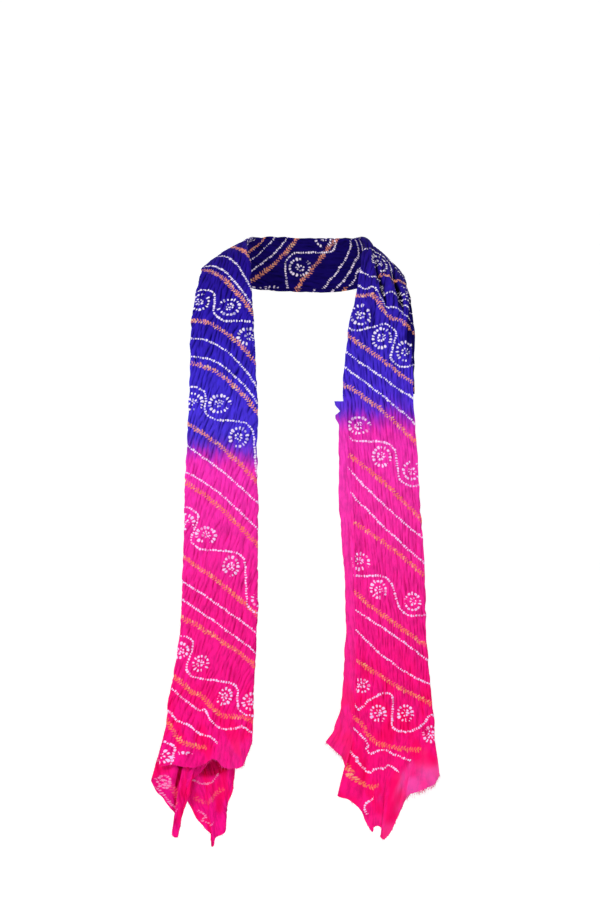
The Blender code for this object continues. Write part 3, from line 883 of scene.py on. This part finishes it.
def hung_end(solid, material, layer, hem, folds, frays, seed, bare_line=None,
             thin_line=None, light_through_strength=1.0, columns=None, swell=0.0, depth=1.0, hollows=()):
    """A single layer that hangs on from one layer of the folded band, down to its raw hem, which is
    given in millimetres from the outer edge to the neck edge. It has no dots beyond bare_line, and is
    a single sheer layer beyond thin_line, painted lighter there for the light that it lets through."""
    row = 0 if hem[0][0] < 0 else -1
    cut = LAYER_COLUMNS[layer]
    count = columns or len(band_t[row, cut])
    top, normal, a, t, first_depth = (
        refined(values[row, cut], count)
        for values in (band_base, band_normals, band_a, band_t, band_depth))
    share = (a - a.min()) / (a.max() - a.min())
    bottom = smooth_at(np.array(hem) / 1000, share * (len(hem) - 1))
    bottom[:, 2] += 0.0010 * soft_noise(t / 0.0045, 0 * t, 23)
    base, run = hung(top, bottom, swell)
    s = cut_at[row] + (-run if row == 0 else run)
    t = t + 0 * s
    leaving = softened(np.clip(run / LEAVING, 0, 1))
    bare = beyond(s, t, bare_line, 0.010) if bare_line else 0 * s
    # Painted light beyond thin_line, for what a single layer lets through.
    light_through = light_through_strength * beyond(s, t, thin_line, 0.016) if thin_line else 0 * s
    light_through *= 1 - 0.7 * beyond(s, t, ((0, 852),), 0.020)
    crumpled = soft_noise(t / 0.008, s / 0.014, 29)
    light_through = np.clip(light_through * (0.9 + 0.4 * crumpled) + 0.3 * light_through_strength * bare * crumpled, 0, 1)
    depth = (first_depth + (depth - first_depth) * leaving) * (1 - 0.5 * bare)
    if row == 0:
        base, s, t, leaving, bare, light_through, depth = (
            values[::-1] for values in (base, s, t, leaving, bare, light_through, depth))
    lift, crease_depth_and_shade = crinkle(s, t, LEAN_LEFT if row == 0 else LEAN_RIGHT)
    fold = creased(s, t, folds)
    lift = lift * depth + fold + 0.0012 * leaving * soft_noise(t / 0.016, s / 0.03, 17)
    normals = surface_normals(base) * leaving[:, :, None] + normal * (1 - leaving[:, :, None])
    points = raised(base, normals, lift)
    # Painted shade in the creases and in the troughs of the folds; the hollows under the front hem get
    # painted shade as well.
    sunk_fold_shade = -fold / 0.003 if layer == "face" else fold / 0.0018
    shaded = np.maximum(crease_depth_and_shade * depth, np.clip(sunk_fold_shade - 0.3, 0, 1.5))
    hollow_shade = shade_of_layer_in_front(points, hollows) * (0.85 + 0.4 * crease_depth_and_shade)
    piece = cloth_piece(solid, material, points, s, t, shaded, bare, light_through, hollow_shade)
    rows = (0, 3) if row == 0 else (-1, -4)
    fringe = frayed(solid + "_frayed", points, rows, frays, seed)


LEFT_FRONT_HEM = (
    (-180, -178, -645), (-165, -179, -643), (-151, -181, -645), (-136, -180, -647.5), (-124, -180, -643),
    (-112, -182, -636), (-101, -181, -645), (-90, -181, -648), (-78.5, -179, -647), (-72.4, -179, -638),
    (-64, -178, -615),
)
LEFT_SIDE_HEM = (
    (-190.9, -174, -664.8), (-183.4, -176, -678.6), (-174.7, -174, -687.3), (-167.2, -176, -698.5),
    (-161, -174, -706), (-163.5, -175, -719.7), (-164.1, -175, -732.2), (-157.2, -174, -734.7),
    (-154.1, -172, -724.7), (-151.6, -171, -709.7), (-151, -171, -699.8), (-156, -171, -686),
    (-159.7, -169, -669.8), (-162.2, -164, -651.1), (-157.2, -168, -668.6), (-143.5, -170, -666.1),
    (-133.5, -170, -659.8), (-123.6, -170, -649.2), (-113.6, -171, -637.4), (-98.6, -171, -631.1),
    (-77.4, -171, -624.9),
)
LEFT_BACK_HEM = (
    (-150.4, -163, -671.1), (-148.5, -163, -686), (-141, -162, -701), (-134.8, -163, -713.5),
    (-124.8, -163, -724.7), (-117.3, -162, -732.2), (-115.4, -162, -739.7), (-116.1, -162, -748.4),
    (-112.3, -162, -747.2), (-110.4, -162, -737.2), (-103.6, -163, -734.7), (-98, -164, -729.7),
    (-96.1, -164, -709.7), (-94.9, -163, -694.8), (-89.9, -164, -681), (-88.6, -165, -669.8),
    (-92.4, -165, -658.6), (-90.5, -165, -647.4),
)
LEFT_FRONT_FOLDS = creases(
    (-800, -30, 60, 4, 2, 0.3), (-815, -12, 60, 4, -2.2, 0.3), (-810, 4, 70, 6, 2.4, 0.1),
    (-808, 22, 60, 4, -1.8, -0.1), (-800, 34, 70, 3, 1.6, 0), (-800, 43, 70, 2.6, -1.6, 0),
)
LEFT_TAIL_FOLDS = creases(
    (-845, -60, 110, 3, 1.6, 0.02), (-850, -67, 110, 3, -2.4, -0.02), (-855, -75, 120, 3, 1.8, 0.02),
    (-855, -83, 120, 3.2, -2.6, 0), (-860, -92, 110, 3, 1.6, 0), (-850, -100, 100, 3.4, -2.4, 0.02),
    (-836, -110, 80, 3.4, 1.4, 0), (-834, -125, 56, 6, 0.9, 0), (-815, -141, 70, 5, -1.6, 0.1),
)
LEFT_BACK_FOLDS = creases(
    (-850, 66, 90, 5, 1.2, 0.1), (-860, 80, 110, 5, -2, 0.1), (-872, 100, 110, 6, 1.4, 0),
    (-850, 112, 90, 4, -1.6, -0.1), (-840, 128, 90, 4, 1.2, 0), (-826, 93, 64, 12, 1.3, 0.3),
)
# Where the tied rows stop and where the cloth is a single thin layer, as (t, s) in millimetres.
LEFT_BARE = ((-62, -880), (-46, -830), (-38, -808), (-18, -804), (4, -798), (10, -782), (38, -779),
             (52, -782))
LEFT_THIN = ((-10, -880), (0, -826), (8, -792), (38, -784), (52, -788))
# Hollows in metres, where painted shade stands for the shadow that the front hem casts on the two layers
# behind it.
TAIL_HOLLOWS = ((-0.1562, -0.6590, 0.0037, 0.0160, 0.0028, 1.5),
                (-0.1535, -0.6466, 0.0045, 0.0, 0.0028, 1.6))
BACK_HOLLOWS = ((-0.1110, -0.6480, 0.0225, 0.0080, 0.0112, 1.2),)
WRONG_SIDE = dyed_cloth("hot_pink_crinkled_silk_wrong_side", showing=0.4)
hung_end("end_left_front", PINK_CLOTH, "face", LEFT_FRONT_HEM, LEFT_FRONT_FOLDS,
         frays=((0, 1, 150, 0.0008, 0.0025), (0.4, 1, 60, 0.0015, 0.0040)), seed=31,
         bare_line=LEFT_BARE, thin_line=LEFT_THIN, light_through_strength=0.1, swell=0.002)
hung_end("end_left_side", WRONG_SIDE, "inner", LEFT_SIDE_HEM, LEFT_TAIL_FOLDS,
         frays=((0, 0.75, 130, 0.0010, 0.0035),), seed=32,
         columns=180, depth=0.8, hollows=TAIL_HOLLOWS)
hung_end("end_left_back", WRONG_SIDE, "back", LEFT_BACK_HEM, LEFT_BACK_FOLDS,
         frays=((0, 1, 130, 0.0008, 0.0030),), seed=33,
         columns=90, swell=-0.002, depth=0.7, hollows=BACK_HOLLOWS)

# ---------------------------------------------------------------------------------------------
# The right end: the front layer hangs to a point with a notch in it, its outer part a plain single
# layer with a frayed weft. The inner layers stop behind it, a little higher.
# ---------------------------------------------------------------------------------------------
RIGHT_FRONT_HEM = (
    (169.6, -178, -654.8), (163.4, -179, -666.1), (153.4, -180, -672.3), (143.4, -180, -676.7),
    (131, -180, -680.4), (126.6, -179, -688.5), (122.2, -180, -698.5), (116.6, -181, -711),
    (109.1, -181, -727.2), (100.4, -181, -736.6), (96, -181, -732.8), (97.9, -181, -727.2),
    (97.3, -181, -722.2), (92.3, -181, -719.1), (87.3, -181, -722.2), (85.4, -180, -727.2),
    (77.3, -180, -714.7), (71.7, -180, -701), (58.6, -179, -689.2), (49.9, -178, -686),
    (42.4, -177, -682.9),
)
RIGHT_BACK_HEM = (
    (159, -169, -652), (140, -169, -664), (110, -169, -688), (80, -169, -689), (57, -169, -673),
)
RIGHT_FRONT_FOLDS = creases(
    (820, 44, 120, 4, 2, 0.1), (830, 34, 130, 3.4, -2.6, 0.1), (850, 18, 120, 5, 2, -0.1),
    (860, 5, 100, 4, -2, 0), (860, -8, 110, 4, 2.2, 0.1), (850, -18, 100, 3, -1.8, 0.1),
    (835, -30, 80, 3, 1.6, 0), (832, -38, 80, 2.6, -1.6, 0.1), (828, -46, 70, 3, 1.6, 0),
)
RIGHT_BACK_FOLDS = creases(
    (820, 66, 90, 5, 1.4, 0), (830, 86, 90, 5, -1.6, 0.1), (820, 106, 90, 6, 1.6, 0),
    (815, 128, 80, 5, -1.4, 0),
)
RIGHT_BARE = ((-52, 790), (-35, 800), (-22, 814), (-10, 828), (4, 838), (14, 850), (21, 874), (33, 884),
              (42, 866), (60, 852))
RIGHT_THIN = ((-52, 810), (-38, 812), (-26, 818), (-16, 830), (-8, 850), (2, 872), (10, 910))
hung_end("end_right_front", PINK_CLOTH, "face", RIGHT_FRONT_HEM, RIGHT_FRONT_FOLDS,
         frays=((0, 0.24, 170, 0.0025, 0.0070), (0.2, 1, 190, 0.0008, 0.0028)), seed=34,
         bare_line=RIGHT_BARE, thin_line=RIGHT_THIN, swell=0.002, depth=0.38)
hung_end("end_right_back", WRONG_SIDE, "back", RIGHT_BACK_HEM, RIGHT_BACK_FOLDS,
         frays=((0, 1, 130, 0.0008, 0.0030),), seed=35,
         columns=90, swell=-0.002, depth=0.7)

# ---------------------------------------------------------------------------------------------
# The margin beside the right fall: a strip along the selvedge that was left untied and has come out
# of the fold at the neck edge. It is one plain thin layer, and ends in a corner that stands out.
# ---------------------------------------------------------------------------------------------
MARGIN_COLUMNS = 20
MARGIN_OVERLAP = 0.0030  # how far the margin starts in front of the fall's neck fold
# The margin is painted lighter, for the light that its one layer lets through.
MARGIN_LIGHT_THROUGH = 0.16  # how far it is lighter than the folded cloth
# Where its free edge runs, as (z, x), and the hem of its corner, in millimetres.
MARGIN = (
    (-189, 39), (-194.5, 39.8), (-202, 46.1), (-206.5, 40.3), (-211, 40), (-218.2, 44.9), (-225.7, 44),
    (-270, 44.3), (-321.7, 44), (-336.7, 46), (-369.1, 47.9), (-414.1, 52), (-455.2, 52.4),
    (-475.2, 53.2), (-498.9, 51.5), (-537.6, 49.7), (-573.7, 46.1), (-597, 39),
)
CORNER_HEM = (
    (52, -184, -647), (47.4, -184, -633), (42, -184, -628), (34.5, -183, -621), (27.4, -182, -615),
)
FACE_MIDDLE = 80  # a column of the band near the middle of its face
heights = band_base[cut_rows[2]:, FACE_MIDDLE, 2]
run_down = np.interp([-z / 1000 for z, _ in MARGIN], -heights, band_s[cut_rows[2]:, FACE_MIDDLE])
s = np.linspace(run_down[0], cut_at[-1], round((cut_at[-1] - run_down[0]) / ROW_STEP) + 1)
frames = band_frames(s)
middle, width = frames[:2]
free = middle[:, 0] - np.interp(s, run_down, [x / 1000 for _, x in MARGIN])
free += 0.0006 * soft_noise(s / 0.006, 0 * s, 40)
share = np.linspace(0, 1, MARGIN_COLUMNS + 1)
joined = width / 2 - LAYER_PITCH - MARGIN_OVERLAP
a = joined[:, None] + (free - joined)[:, None] * share
s = s[:, None] + 0 * a
proud = LAYER_PITCH + BOW * (1 - np.minimum(2 * a / width[:, None], 1) ** 2) + CLOTH
proud += creased(s, a, FOLDS) + 0.0016 * share * soft_noise(s / 0.022, 0 * s, 41)
proud += 0.0009 * soft_noise(a / 0.0035, s / 0.035, 42)
margin_base = on_band(frames, a, proud)
lift, crease_depth_and_shade = crinkle(s, a, LEAN_RIGHT)
calm = 1 - 0.5 * np.clip(share * 1.6, 0, 1)
plain = np.clip(share * 3, 0, 1) + 0 * s
points = raised(margin_base, surface_normals(margin_base), lift * calm)
# Painted shade in the margin's creases, and painted light where it is one layer.
margin = cloth_piece("selvedge_right", PINK_CLOTH, points, s, a, crease_depth_and_shade * calm,
                     bare=plain + 0.4, light_through=MARGIN_LIGHT_THROUGH * plain)

hem = smooth_at(np.array(CORNER_HEM) / 1000, share * (len(CORNER_HEM) - 1))
base, run = hung(margin_base[-1], hem)
leaving = np.clip(run / 0.015, 0, 1)[:, :, None]
normals = surface_normals(base) * leaving + surface_normals(margin_base)[-1] * (1 - leaving)
s, a = cut_at[-1] + run, a[-1] + 0 * run
lift, crease_depth_and_shade = crinkle(s, a, LEAN_RIGHT)
points = raised(base, normals, lift * calm)
# The corner, too, has painted shade in its creases and painted light as one layer.
corner = cloth_piece("end_right_corner", PINK_CLOTH, points, s, a, crease_depth_and_shade * calm,
                     bare=1 + 0 * s, light_through=MARGIN_LIGHT_THROUGH + 0 * s)
fringe = frayed("end_right_corner_frayed", points, (-1, -4), ((0.2, 1, 70, 0.0015, 0.0040),), 36)

# ---------------------------------------------------------------------------------------------
# The outer layer on the right shoulder: the turned-in part of the cloth, which has slipped out past
# the outer edge of the fold as the band turns over the shoulder.
# ---------------------------------------------------------------------------------------------
PLEAT_STAND = 0.0050  # how far it stands out past the outer edge at most
PLEAT_BACK = 0.0125  # how far in from that edge it starts, behind the band
PLEAT_TUCK = 0.006  # how much cloth its edge takes up in turning round
PLEAT_COLUMNS, PLEAT_ROWS = 22, 90
s = np.linspace(run_at("right crest"), run_at("right chest"), PLEAT_ROWS)
frames = band_frames(s)
half_width = frames[1] / 2
stand = PLEAT_STAND * np.sin(pi * np.linspace(0.1, 0.9, PLEAT_ROWS))
stand += 0.0008 * soft_noise(s / 0.012, 0 * s, 50)
share = np.linspace(0, 1, PLEAT_COLUMNS + 1)
near, far = PLEAT_BACK - half_width, -(half_width + stand)
a = (near[:, None] + (far - near)[:, None] * share)[:, ::-1]
share = share[::-1]
base = on_band(frames, a, -2 * LAYER_PITCH + LAYER_PITCH * share**2 + 0 * a)
s, t = s[:, None] + 0 * a, a - PLEAT_TUCK
lift, crease_depth_and_shade = crinkle(s, t, LEAN_RIGHT)
points = raised(base, surface_normals(base), 0.8 * lift)
# Painted shade: the layer is darker towards its outer edge, as in the shade of the fold.
pleat = cloth_piece("pleat_right", BLUE_CLOTH, points, s, t, np.maximum(crease_depth_and_shade, 0.9 * share**2))

# ---------------------------------------------------------------------------------------------
# The setting: a pale floor that curves up all round, soft light from the front left, and the camera.
# ---------------------------------------------------------------------------------------------
FLOOR_Z = -1.45
BOWL = ((0.0, 0.0), (5.4, 0.0), (6.0, 0.12), (6.5, 0.5), (6.8, 1.1), (6.9, 1.8), (6.9, 6.0))
bowl = bmesh.new()
outline = [bowl.verts.new((radius, 0, FLOOR_Z + height)) for radius, height in BOWL]
spun = outline + [bowl.edges.new(pair) for pair in zip(outline, outline[1:])]
bmesh.ops.spin(bowl, geom=spun, cent=(0, 0, 0), axis=(0, 0, 1), angle=2 * pi, steps=64, use_merge=True)
bmesh.ops.remove_doubles(bowl, verts=bowl.verts, dist=0.001)
bmesh.ops.recalc_face_normals(bowl, faces=bowl.faces)
mesh = bpy.data.meshes.new("studio_floor")
bowl.to_mesh(mesh)
bowl.free()
mesh.shade_smooth()
paper, tree, shader = new_material("pale_paper")
seen = node(tree, "LightPath").outputs["Is Camera Ray"]
feed(shader, {"Base Color": (0.9, 0.9, 0.9, 1), "Roughness": 0.9, "Specular IOR Level": 0,
              "Emission Color": (1, 1, 1, 1), "Emission Strength": multiply(seen, 0.45)})
mesh.materials.append(paper)
placed("studio_floor", mesh)

world = bpy.data.worlds.new("soft_studio")
world.use_nodes = True
feed(world.node_tree.nodes["Background"], {"Color": (1, 1, 1, 1), "Strength": 0.62})
bpy.context.scene.world = world

for name, place, aim, size, watts in (
    ("front_left_softbox", (-1.9, -2.6, 1.7), (0, -0.1, -0.3), 1.1, 68),
    ("right_fill", (2.4, -2.2, 0.4), (0, -0.1, -0.3), 1.8, 10),
    ("back_light", (0.6, 2.8, 2.0), (0, 0, -0.3), 2.0, 22),
):
    light = bpy.data.lights.new(name, "AREA")
    light.shape = "SQUARE"
    light.size = size
    light.energy = watts
    lamp = placed(name, light)
    lamp.location = place
    lamp.rotation_euler = (Vector(aim) - Vector(place)).to_track_quat("-Z", "Y").to_euler()

lens = bpy.data.cameras.new("camera")
lens.lens = 83.27
lens.sensor_width = 36
camera = placed("camera", lens)
camera.location = (-0.0044, -2.775, -0.25)
camera.rotation_euler = (pi / 2, 0, 0)
bpy.context.scene.camera = camera
bpy.context.scene.view_settings.view_transform = "Standard"
